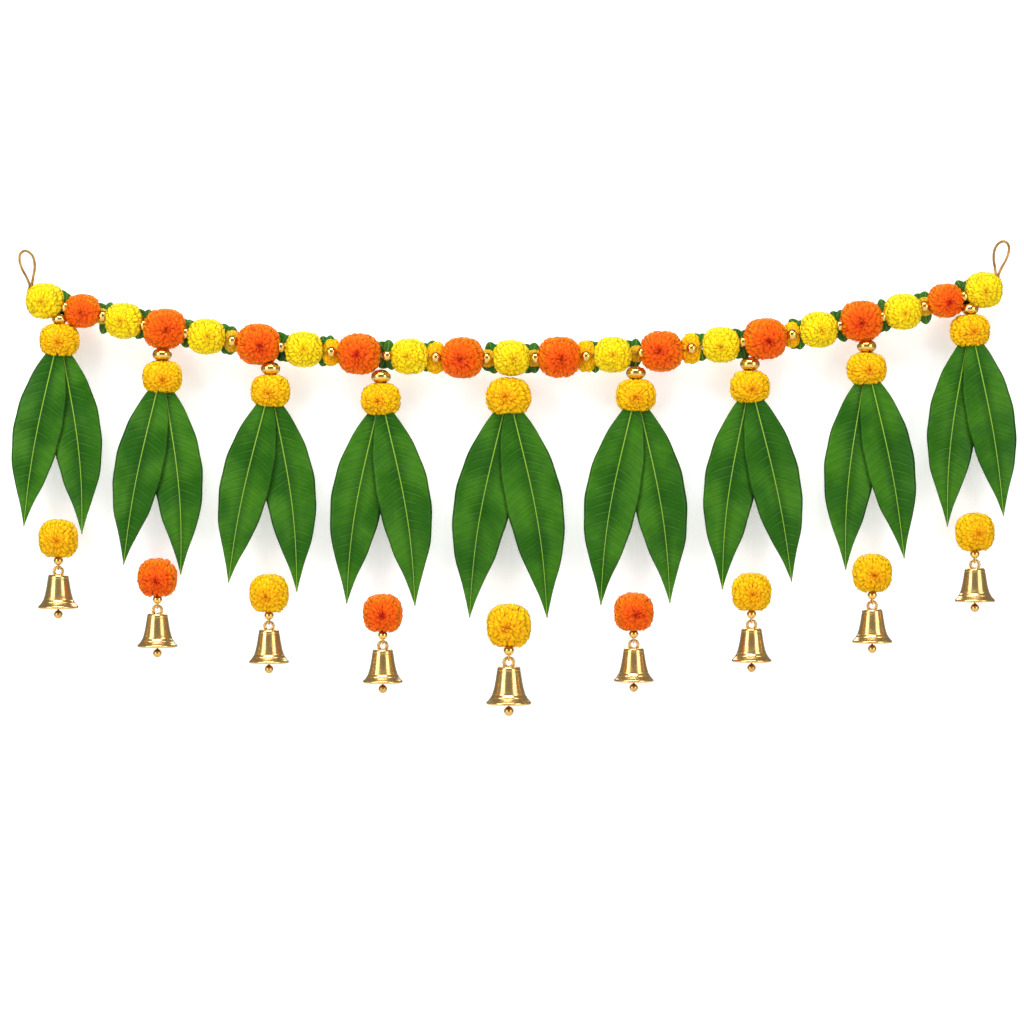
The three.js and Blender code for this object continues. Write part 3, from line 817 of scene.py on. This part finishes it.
def bloom_mesh(middle, radii, petal_width, seed, facing, notch=None):
    """A marigold head: whorls of pleated petals from its eye round to its back, on a core.

    facing is the way its eye looks. notch is a direction round the eye where a thread draws
    the petals in.
    """
    rng = np.random.default_rng(seed)
    eye = unit(np.asarray(facing, float))
    side = unit(np.cross(eye, (0.0, 0.0, 1.0)))
    up = np.cross(side, eye)
    verts, faces = [], []
    tone, shade, across_tone = [], [], []
    columns = np.linspace(-1, 1, PETAL_COLUMNS + 1)
    rows = np.linspace(0, 1, PETAL_ROWS + 1)
    wide_count = PETAL_COLUMNS + 1
    inner = PETAL_COLUMNS - 1
    for tip_degrees, reach_degrees in WHORLS:
        tip = math.radians(tip_degrees)
        inwards = max(0.0, 1 - tip / EYE_REACH)
        breadth = petal_width * (BACK_BREADTH if tip > BACK_FROM else 1)
        count = max(5, round(2 * math.pi * math.sin(tip - 0.07) / breadth))
        turn = rng.uniform(0, 2 * math.pi)
        for i in range(count):
            polar = tip + rng.normal(0, 0.03 + 0.07 * min(1.0, tip))
            around = turn + 2 * math.pi * (i + rng.normal(0, 0.12)) / count
            reach = math.radians(reach_degrees) * rng.uniform(0.9, 1.12)
            half_width = 0.66 * breadth * rng.uniform(0.88, 1.15)
            twist = rng.normal(0, 0.12 + 0.5 * inwards)
            pleat = rng.uniform(0.011, 0.018)
            tip_radius = 1.0 + rng.normal(0, 0.008) + (0.008 if i % 2 else -0.008) - 0.06 * inwards
            foot = CORE_RADIUS - 0.02
            dent = 1.0
            if notch is not None:
                dent = 1 - 0.15 * smoothstep(math.cos(around - notch) * math.sin(polar), 0.86, 1)
            petal_shade = rng.uniform(0, 1)
            start = len(verts)
            for layer in (0, 1):
                for r, t in enumerate(rows):
                    for c, s in enumerate(columns):
                        if layer and (r in (0, PETAL_ROWS) or c in (0, PETAL_COLUMNS)):
                            continue
                        run = t
                        if r >= PETAL_ROWS - 1:
                            run = t + TIP_TEETH[c] * (1 if r == PETAL_ROWS else 0.3)
                        angle = polar - reach * (1 - run)
                        wide = half_width * (0.45 + 0.55 * min(1.0, 1.4 * t))
                        swing = s * wide / max(math.sin(max(abs(angle), 0.1)), 0.22)
                        radius = foot + (tip_radius - foot) * (1 - (1 - min(1.0, run)) ** 2.2)
                        radius += pleat * PLEATS[c] * (0.3 + 0.7 * t)
                        radius += twist * s * wide * t
                        radius += 0.05 * max(0.0, run - 0.78)
                        radius -= 0.018 if layer else 0
                        direction = around + swing + 0.1 * twist * t
                        sine = math.sin(angle)
                        outwards = math.cos(direction) * side + math.sin(direction) * up
                        verts.append((math.cos(angle) * eye + sine * outwards) * radius * dent)
                        # Painted shade: the tone darkens towards each petal's foot, deep among the others, and
                        # towards the hollow eye.
                        from_eye = min(1.0, max(0.03, abs(angle) / EYE_SHADE_REACH))
                        tone.append((0.42 + 0.58 * t) * from_eye**0.55)
                        shade.append(petal_shade)
                        across_tone.append(s)

            def top(r, c):
                return start + r * wide_count + c

            def under(r, c):
                if r in (0, PETAL_ROWS) or c in (0, PETAL_COLUMNS):
                    return top(r, c)
                return start + (PETAL_ROWS + 1) * wide_count + (r - 1) * inner + (c - 1)

            for r in range(PETAL_ROWS):
                for c in range(PETAL_COLUMNS):
                    faces.append((top(r, c), top(r, c + 1), top(r + 1, c + 1), top(r + 1, c)))
                    faces.append((under(r, c), under(r + 1, c), under(r + 1, c + 1), under(r, c + 1)))
    core_verts, core_faces = bloom_core(eye, side, up)
    start = len(verts)
    verts.extend(core_verts)
    faces.extend([tuple(i + start for i in face) for face in core_faces])
    # Painted shade: the core's front, seen in the eye, takes the darkest tone.
    tone += [CORE_TONE if np.dot(vert, eye) > 0 else BACK_CORE_TONE for vert in core_verts]
    shade += [0.3] * len(core_verts)
    across_tone += [0.0] * len(core_verts)
    shaped = np.asarray(verts)
    flat = np.abs(shaped[:, [0, 2]])
    spread = np.maximum(np.linalg.norm(flat, axis=1), 1e-6)
    corner = (flat[:, 0] / spread) ** SQUARENESS + (flat[:, 1] / spread) ** SQUARENESS
    squarer = corner ** (-1 / SQUARENESS)
    share = np.minimum(spread, 1) ** 2
    shaped[:, [0, 2]] *= (1 + (squarer - 1) * share)[:, None]
    shaped = shaped * np.asarray(radii) + np.asarray(middle)
    return shaped, faces, {"petal_tone_and_shade": tone, "petal_shade": shade, "petal_across": across_tone}


def bloom(name, material, middle, radii, petal_width, seed, replaced, notch=None):
    rng = random.Random(seed)
    facing = (rng.uniform(-0.16, 0.16), -1, rng.uniform(-0.22, -0.02))
    width = petal_width * 1
    verts, faces, tones = bloom_mesh(middle, radii, width, seed, facing, notch)
    return make_piece(name, verts, faces, material, replaced, tones=tones)


SMALL_BLOOM_PETAL = 0.13  # petal widths, as a share of the bloom's radius
LARGE_BLOOM_PETAL = 0.118
CUP_PETAL = 0.3
LARGE_BLOOM_FROM = 38 * MM  # bloom height
LEMON_FULLNESS = 1.05  # petals past the solid's own outline
for i, node in enumerate(BLOOMS):
    colour = "lemon" if node.startswith("lemon") else "orange"
    material = LEMON if colour == "lemon" else ORANGE
    size = size_of(node)
    full = LEMON_FULLNESS if colour == "lemon" else 1.0
    radii = Vector((size.x * full, size.y, size.z * full)) / 2
    petal = LARGE_BLOOM_PETAL if size.z > LARGE_BLOOM_FROM else SMALL_BLOOM_PETAL
    name = f"{colour}_marigold_{i + 1:02d}"
    bloom(name, material, middle_of(node), radii, petal, 100 + i, [node])


# ---- mango leaves ---------------------------------------------------------------------------

LEAF_ROWS = 64
LEAF_COLUMNS = 16
BLADE_THICKNESS = 0.5 * MM
LEAF_START = 0.015  # share of the leaf's length, from the head bloom's middle
LEAF_SPREAD = 1.4 * MM
DRIP = 0.36  # how much the drip tip narrows
LEAF_FULLNESS = 0.89
EDGE_WAVE = 0.75 * MM
RIB_HALF_WIDTH = 0.75 * MM
RIB_HEIGHT = (0.42 * MM, 0.28 * MM)  # at the stalk, and lost towards the tip


def leaf_outline(t, drip=DRIP, fullness=LEAF_FULLNESS):
    """Half-width of a mango leaf from the stalk at 0 to the drip tip at 1."""
    if t <= 0 or t >= 1:
        return 0.0
    return math.sin(math.pi * t**0.85) ** fullness * (1 - drip * smoothstep(t, 0.7, 1))


def leaf_mesh(
    root,
    tip,
    side,
    half_width,
    bow,
    seed,
    rows=LEAF_ROWS,
    columns=LEAF_COLUMNS,
    curl=1.0,
    drip=DRIP,
    fullness=LEAF_FULLNESS,
    spread=0.0,
):
    """A blade from its stalk to its tip, folded along the midrib, with wavy edges."""
    rng = random.Random(seed)
    axis = tip - root
    length = axis.length
    down = axis.normalized()
    out = Vector((-down.z, 0, down.x)) * (1 if -down.z > 0 else -1)
    phases = [rng.uniform(0, 2 * math.pi) for _ in range(4)]
    tip_curl = rng.uniform(-2.0, 2.6) * MM * curl
    belly = rng.uniform(0.4, 1.6) * MM * curl
    verts = []
    along_tone, across_tone, edge_tone = [], [], []
    count = columns + 1
    for layer in (0, 1):
        for r in range(rows + 1):
            t = r / rows
            wide = max(half_width * leaf_outline(t, drip, fullness), 0.5 * MM)
            aside = side * (bow * math.sin(math.pi * t**1.2) + spread * (1 - t))
            middle = root + axis * t + out * aside
            for c in range(count):
                s = 2 * c / columns - 1
                if layer and (c in (0, columns) or r in (0, rows)):
                    continue
                edge = abs(s)
                wave = math.sin(9.5 * t + phases[0 if s > 0 else 1]) * 0.8
                wave += math.sin(21 * t + phases[2]) * 0.3
                y = LEAF_BACK_BEND * leaf_outline(t) * (1.4 * s * s - 0.75 * edge)
                y += curl * EDGE_WAVE * wave * edge**2.2 * leaf_outline(t)
                y -= belly * math.sin(math.pi * t) * 0.6
                y -= tip_curl * max(0.0, t - 0.6) ** 2 * 4
                rib = math.exp(-((s * wide / RIB_HALF_WIDTH) ** 2))
                rib_height = (RIB_HEIGHT[0] - RIB_HEIGHT[1] * t) * min(1.0, curl + 0.2)
                thick = BLADE_THICKNESS * (0.5 if edge < 0.98 else 0.15)
                if layer:
                    y += thick + 1.5 * rib_height * rib
                else:
                    y -= thick + 0.55 * rib_height * rib
                ripple = 1 + 0.012 * math.sin(37 * t + phases[3] + s) * edge
                verts.append(middle + out * (s * wide * ripple) + Vector((0, y, 0)))
                along_tone.append(t * length / MM)
                across_tone.append(s * wide / MM)
                edge_tone.append(edge)
    faces = []
    inner = columns - 1

    def front(r, c):
        return r * count + c

    def back(r, c):
        if c in (0, columns) or r in (0, rows):
            return front(r, c)
        return (rows + 1) * count + (r - 1) * inner + (c - 1)

    for r in range(rows):
        for c in range(columns):
            faces.append((front(r, c), front(r + 1, c), front(r + 1, c + 1), front(r, c + 1)))
            faces.append((back(r, c), back(r, c + 1), back(r + 1, c + 1), back(r + 1, c)))
    if out.x < 0:
        faces = [tuple(reversed(face)) for face in faces]
    tones = {"leaf_along": along_tone, "leaf_across": across_tone, "leaf_edge": edge_tone}
    return verts, faces, tones


for number in DROPS:
    for side_name, side in (("left", -1), ("right", 1)):
        node = f"{side_name}_leaf_{number}"
        root, tip = leaf_ends(node)
        full = (tip - HEADS[number]).length
        root = HEADS[number] + (tip - HEADS[number]) * LEAF_START + Vector((0, root.y, 0))
        outward = side * (HEADS[number].x - LOWEST_X) > FAR_FROM_MIDDLE
        bow = full * (OUTER_LEAF_BOW if outward else LEAF_BOW)
        seed = 300 + 2 * int(number) + side
        verts, faces, tones = leaf_mesh(
            root, tip, side, full * LEAF_HALF_WIDTH, bow, seed, spread=LEAF_SPREAD
        )
        name = f"mango_leaf_{side_name}_{number}"
        make_piece(name, verts, faces, MANGO_LEAF, [node], tones=tones)


# ---- drops ----------------------------------------------------------------------------------

# Radii in mm of the hanging beads. The middle drop has none.
HANG_BEADS = {"01": 7.6, "02": 9.7, "03": 9.7, "04": 9.9, "06": 9.9, "07": 9.9, "08": 9.7, "09": 8.6}
HANG_BEAD_SINK = 1.5 * MM  # into the head bloom's petals
THREAD_STEP = 6 * MM
THREAD_LOOP_RADIUS = 0.6 * MM
ORANGE_BELL_BLOOMS = ("02", "04", "06")
DOWNWARDS = -math.pi / 2  # the way a thread draws the petals in


def ring_points(middle, radius, faces_along, steps):
    """Points round a circle that faces along x or y."""
    points = []
    for i in range(steps):
        angle = 2 * math.pi * i / steps
        a, b = radius * math.cos(angle), radius * math.sin(angle)
        points.append(middle + (Vector((a, 0, b)) if faces_along == "y" else Vector((0, a, b))))
    return points


def eye_solid(bead, pivot, scale):
    """The U of wire below a bead that carries the bell's ring."""
    half = EYE_HALF_WIDTH * scale
    points = [Vector((pivot.x, -half, bead.z))]
    for i in range(17):
        angle = math.pi * i / 16
        points.append(Vector((pivot.x, -half * math.cos(angle), pivot.z + half - half * math.sin(angle))))
    points.append(Vector((pivot.x, half, bead.z)))
    return swept(points, EYE_WIRE_RADIUS * scale, 10)


def drop_pieces(number):
    strand = [f"strand_{number}"]
    scale = SCALES[number]
    head = HEADS[number]
    pivot = PIVOTS[number]
    bell_bloom = pivot + Vector((0, 0, (LOWER_BEAD_FALL + EYE_FALL) * scale))
    bead = bell_bloom - Vector((0, 0, LOWER_BEAD_FALL * scale))
    orange = number in ORANGE_BELL_BLOOMS
    blooms = (
        ("head", GOLDEN, "golden_petals", head, HEAD_BLOOM, SMALL_BLOOM_PETAL, 400),
        (
            "bell",
            ORANGE if orange else GOLDEN,
            "orange_petals" if orange else "golden_petals",
            bell_bloom,
            BELL_BLOOM,
            LARGE_BLOOM_PETAL,
            500,
        ),
    )
    for place, colour, slot, middle, radii, petal, first_seed in blooms:
        name = f"{place}_marigold_{number}"
        seed = first_seed + int(number)
        bloom(name, colour, middle, radii * scale, petal, seed, strand, DOWNWARDS)

    hook = on_string(head.x)
    thread_top = hook - Vector((0, 0, STRING_RADIUS + GAP))
    line = evenly([thread_top, head, bell_bloom, bead], THREAD_STEP)
    verts, faces = swept(line, THREAD_RADIUS, 8)
    thread = make_piece(f"drop_thread_{number}", verts, faces, NYLON, strand)
    ring = ring_points(hook, STRING_RADIUS + GAP + THREAD_LOOP_RADIUS, "x", 24)
    verts, faces = swept(ring, THREAD_LOOP_RADIUS, 8, closed=True)
    make_piece(f"thread_loop_{number}", verts, faces, TWISTED_CORD, strand)

    if number in HANG_BEADS:
        radius = HANG_BEADS[number] * MM
        z = head.z + HEAD_BLOOM.z + radius * HANG_BEAD_FLATTEN - HANG_BEAD_SINK
        verts, faces = bead_solid(Vector((head.x, 0, z)), radius, HANG_BEAD_FLATTEN, (0, 0, 1), 36)
        make_piece(f"hanging_bead_{number}", verts, faces, BEAD_GOLD, strand)
    verts, faces = bead_solid(bead, LOWER_BEAD_RADIUS * scale, 1, (0, 0, 1), 32)
    make_piece(f"lower_bead_{number}", verts, faces, BEAD_GOLD, strand)
    verts, faces = eye_solid(bead, pivot, scale)
    make_piece(f"bell_eye_{number}", verts, faces, RING_BRASS, strand)


for number in DROPS:
    drop_pieces(number)


# ---- bells ----------------------------------------------------------------------------------

CLAPPER_ROD_RADIUS = 0.9 * MM
CLAPPER_ROD_TOP = 0.07  # share of the bell's height below its crown
# Radius as a share of the rim's radius, and depth as a share of the height.
BELL_OUTSIDE = (
    (0.0, 0.0), (0.3, 0.0), (0.42, 0.004), (0.47, 0.02), (0.5, 0.05), (0.512, 0.085), (0.518, 0.105),
    (0.508, 0.115), (0.52, 0.128), (0.54, 0.2), (0.566, 0.3), (0.6, 0.42), (0.645, 0.55), (0.676, 0.62),
    (0.71, 0.685), (0.735, 0.725), (0.727, 0.733), (0.75, 0.748), (0.793, 0.79), (0.818, 0.812),
    (0.81, 0.82), (0.842, 0.834), (0.885, 0.868), (0.925, 0.895), (0.958, 0.912), (0.985, 0.926),
    (1.0, 0.948), (0.997, 0.972), (0.975, 0.99), (0.93, 1.0),
)
BELL_INSIDE = (
    (0.9, 0.992), (0.85, 0.95), (0.78, 0.89), (0.71, 0.81), (0.65, 0.73), (0.6, 0.64),
    (0.56, 0.54), (0.5, 0.36), (0.46, 0.2), (0.42, 0.12), (0.3, 0.09), (0.0, 0.09),
)


def bell_pieces(number):
    body = f"swinging_bell_{number}"
    node = [f"bell_{number}"]
    scale = SCALES[number]
    pivot = PIVOTS[number]
    wire = RING_WIRE_RADIUS * scale
    radius = RING_RADIUS * scale
    reach = EYE_WIRE_RADIUS * scale + GAP + wire
    ring_middle = pivot + Vector((0, 0, reach - radius))
    top = ring_middle.z - RING_ABOVE_CROWN * scale
    crown = Vector((pivot.x, 0, top))
    profile = [
        (wide * BELL_RIM_RADIUS * scale, -depth * BELL_HEIGHT * scale)
        for wide, depth in BELL_OUTSIDE + BELL_INSIDE
    ]
    verts, faces = turned(profile, 64, crown)
    make_piece(f"brass_bell_{number}", verts, faces, BELL_BRASS, node, body)

    verts, faces = swept(ring_points(ring_middle, radius, "y", 40), wire, 12, closed=True)
    make_piece(f"crown_ring_{number}", verts, faces, RING_BRASS, node, body)

    ball = CLAPPER_BALL_RADIUS * scale
    ball_z = top - (BELL_HEIGHT + CLAPPER_FALL) * scale
    rod = CLAPPER_ROD_RADIUS * scale
    rod_top = top - CLAPPER_ROD_TOP * BELL_HEIGHT * scale
    clapper = [(0.0, rod_top), (rod, rod_top)]
    neck = math.asin(rod / ball)
    for i in range(17):
        angle = neck + (math.pi - neck) * i / 16
        clapper.append((ball * math.sin(angle), ball_z + ball * math.cos(angle)))
    clapper[-1] = (0.0, ball_z - ball)
    verts, faces = turned(clapper, 32, Vector((pivot.x, 0, 0)))
    make_piece(f"clapper_{number}", verts, faces, RING_BRASS, node, body)


for number in DROPS:
    bell_pieces(number)


# ---- small leaves and petal cups between the blooms -----------------------------------------

SPACER_TIP = 16 * MM  # from the string to the leaf's tip
SPACER_HALF_WIDTH = 6.4 * MM
SPACER_BOW = 0.8 * MM
SPACER_ROOT = 2 * MM
SPACER_FULLNESS = 0.55
CUP_BREADTH = 0.68  # of the half height
CUP_LEAST_BREADTH = 8.5 * MM
CUP_DEPTH = 6.5 * MM
CUP_SET_BACK = 5 * MM
GOLDEN_CUP_FROM = 12.5 * MM
CUP_SHIFT = 0.1  # share of the gap, away from the lemon bloom
SPACER_SHIFT = 0.3  # share of the gap, towards the lemon bloom
# Half heights in mm of the petal cups, by the gap between blooms that each one fills.
CUPS = {1: 8, 4: 11.5, 6: 14, 8: 16, 9: 9, 10: 9, 11: 16, 12: 9, 13: 15.5, 15: 13, 18: 10}


def spacer_leaves(i, x):
    """Short leaves tucked between two blooms, above and below the bead."""
    rng = random.Random(700 + i)
    middle = on_string(x)
    parts = []
    tones = {"leaf_along": [], "leaf_across": [], "leaf_edge": []}
    for k, up in enumerate((1, -1, 1, -1)):
        lean = math.radians(rng.uniform(8, 30) * (1 if k < 2 else -1))
        direction = Vector((math.sin(lean), 0, up * math.cos(lean)))
        root = middle + Vector((0, (2.5 + 1.6 * k) * MM, 0)) + direction * SPACER_ROOT
        reach = SPACER_TIP * rng.uniform(0.85, 1.12)
        tip = middle + Vector((0, (3.5 + 1.6 * k) * MM, 0)) + direction * reach
        half = SPACER_HALF_WIDTH * rng.uniform(0.85, 1.15)
        verts, faces, own = leaf_mesh(
            root, tip, 1, half, SPACER_BOW, 900 + 7 * i + k, 14, 8, 0.5, 0.0, SPACER_FULLNESS
        )
        parts.append((verts, faces))
        for key, values in own.items():
            tones[key].extend(values)
    verts, faces = joined(parts)
    name = f"spacer_leaves_{i + 1:02d}"
    make_piece(name, verts, faces, SPACER_LEAF, [], tones=tones)


def petal_cup(i, x):
    """A half-open cup of petals behind the bead in one of the wider gaps."""
    half = CUPS[i] * MM
    radii = Vector((max(CUP_LEAST_BREADTH, CUP_BREADTH * half), CUP_DEPTH, half))
    colour = GOLDEN if half > GOLDEN_CUP_FROM else AMBER
    middle = on_string(x) + Vector((0, CUP_SET_BACK, 0))
    name = f"petal_cup_{i + 1:02d}"
    bloom(name, colour, middle, radii, CUP_PETAL, 800 + i, [])


for i, (before, after) in enumerate(zip(BLOOMS, BLOOMS[1:])):
    start = middle_of(before).x + size_of(before).x / 2
    end = middle_of(after).x - size_of(after).x / 2
    x = (start + end) / 2
    if i in CUPS:
        to_lemon = (end - start) * (-1 if before.startswith("lemon") else 1)
        petal_cup(i, x - CUP_SHIFT * to_lemon)
        x += SPACER_SHIFT * to_lemon
    spacer_leaves(i, x)


# ---- wall, floor and lights -----------------------------------------------------------------

WALL_Y = 0.026
WALL_HALF_WIDTH = 2.6
WALL_TOP = 2.2
FLOOR_Z = cad_box[0][2] - 0.4
FLOOR_HALF_WIDTH = 5
MIDDLE_X = VIEW_MIDDLE.x


def flat(name, corners, material):
    """A flat four-cornered piece of the set."""
    mesh = bpy.data.meshes.new(name)
    mesh.from_pydata(corners, [], [(0, 1, 2, 3)])
    mesh.materials.append(material)
    plane = bpy.data.objects.new(name, mesh)
    scene.collection.objects.link(plane)


def wall_material():
    """A pale wall that only its own side's viewer sees, and that never shades the hanging."""
    material, n, shader = new_material("pale wall", (0.9, 0.9, 0.9), 0.9, Emission_Strength=0.3)
    shader.inputs["Emission Color"].default_value = (1, 1, 1, 1)
    output = material.node_tree.nodes["Material Output"]
    clear = n.add("ShaderNodeBsdfTransparent")
    path = n.add("ShaderNodeLightPath")
    behind = n.add("ShaderNodeNewGeometry").outputs["Backfacing"]
    seen = n.maths("MULTIPLY", path.outputs["Is Camera Ray"], n.maths("SUBTRACT", 1.0, behind))
    blend = n.add("ShaderNodeMixShader")
    n.wire(seen, blend.inputs[0])
    n.wire(clear.outputs[0], blend.inputs[1])
    n.wire(shader.outputs[0], blend.inputs[2])
    n.wire(blend.outputs[0], output.inputs["Surface"])
    return material


wall_left = MIDDLE_X - WALL_HALF_WIDTH
wall_right = MIDDLE_X + WALL_HALF_WIDTH
flat(
    "wall",
    [
        (wall_left, WALL_Y, FLOOR_Z),
        (wall_right, WALL_Y, FLOOR_Z),
        (wall_right, WALL_Y, WALL_TOP),
        (wall_left, WALL_Y, WALL_TOP),
    ],
    wall_material(),
)
floor_left = MIDDLE_X - FLOOR_HALF_WIDTH
floor_right = MIDDLE_X + FLOOR_HALF_WIDTH
flat(
    "floor",
    [
        (floor_left, -FLOOR_HALF_WIDTH, FLOOR_Z),
        (floor_right, -FLOOR_HALF_WIDTH, FLOOR_Z),
        (floor_right, FLOOR_HALF_WIDTH, FLOOR_Z),
        (floor_left, FLOOR_HALF_WIDTH, FLOOR_Z),
    ],
    new_material("pale floor", (0.85, 0.85, 0.84), 0.8)[0],
)


def soft_light(name, place, size, power):
    """A large soft lamp turned towards the hanging."""
    data = bpy.data.lights.new(name, "AREA")
    data.shape = "RECTANGLE"
    data.size, data.size_y = size
    data.energy = power
    light = bpy.data.objects.new(name, data)
    light.location = place
    light.rotation_euler = (LIGHT_AIM - Vector(place)).to_track_quat("-Z", "Y").to_euler()
    scene.collection.objects.link(light)


LIGHT_AIM = Vector((MIDDLE_X, 0, -0.25))
soft_light("top softbox", (MIDDLE_X - 0.2, -1.3, 2.0), (2.2, 1.0), 82)
soft_light("left softbox", (MIDDLE_X - 2.1, -1.8, 0.3), (1.3, 2.2), 34)
soft_light("right softbox", (MIDDLE_X + 2.1, -1.8, 0.1), (1.3, 2.2), 28)
soft_light("back softbox", (MIDDLE_X, 2.2, 1.2), (2.4, 1.2), 36)

world = bpy.data.worlds.new("studio")
world.use_nodes = True
scene.world = world
background = world.node_tree.nodes["Background"]
background.inputs["Color"].default_value = (0.9, 0.92, 0.95, 1)
background.inputs["Strength"].default_value = 0.3
scene.view_settings.view_transform = "Standard"
